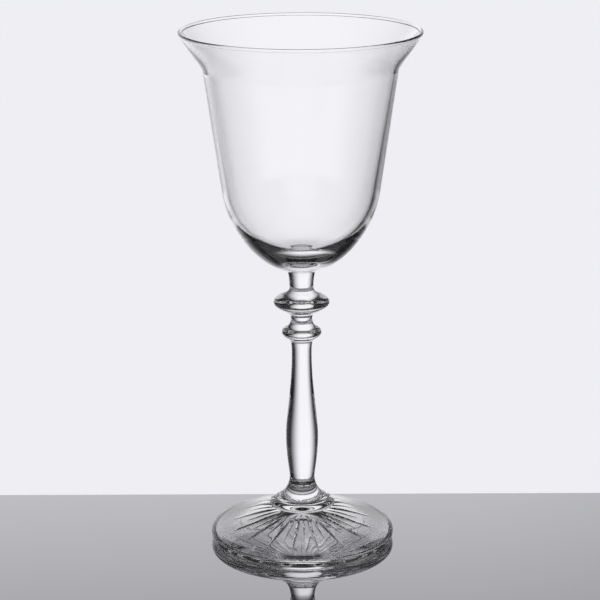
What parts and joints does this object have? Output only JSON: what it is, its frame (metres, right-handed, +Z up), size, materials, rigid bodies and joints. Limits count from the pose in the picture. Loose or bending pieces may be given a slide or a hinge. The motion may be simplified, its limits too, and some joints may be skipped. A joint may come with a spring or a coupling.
{
  "type": "cocktail glass",
  "caption": "Clear stemmed drinking glass with a bell-shaped bowl and flared lip, a knopped baluster stem and a round foot with a rayed star pressed underneath.",
  "frame": {"origin": "centre of the ring that the foot stands on, at table level", "axes": "+Z up along the axis of the glass; the glass is round, so +X and -Y have no special side"},
  "size_m": [0.0838, 0.0838, 0.185],
  "materials": {
    "blown_glass": "clear, fire-polished, blown soda-lime glass",
    "pressed_glass": "clear, fire-polished, pressed soda-lime glass"
  },
  "bodies": {
    "root": {"bowl": "blown_glass", "neck": "pressed_glass", "upper_knop": "pressed_glass", "lower_knop": "pressed_glass", "baluster": "pressed_glass", "foot": "pressed_glass"}
  },
  "joints": []
}
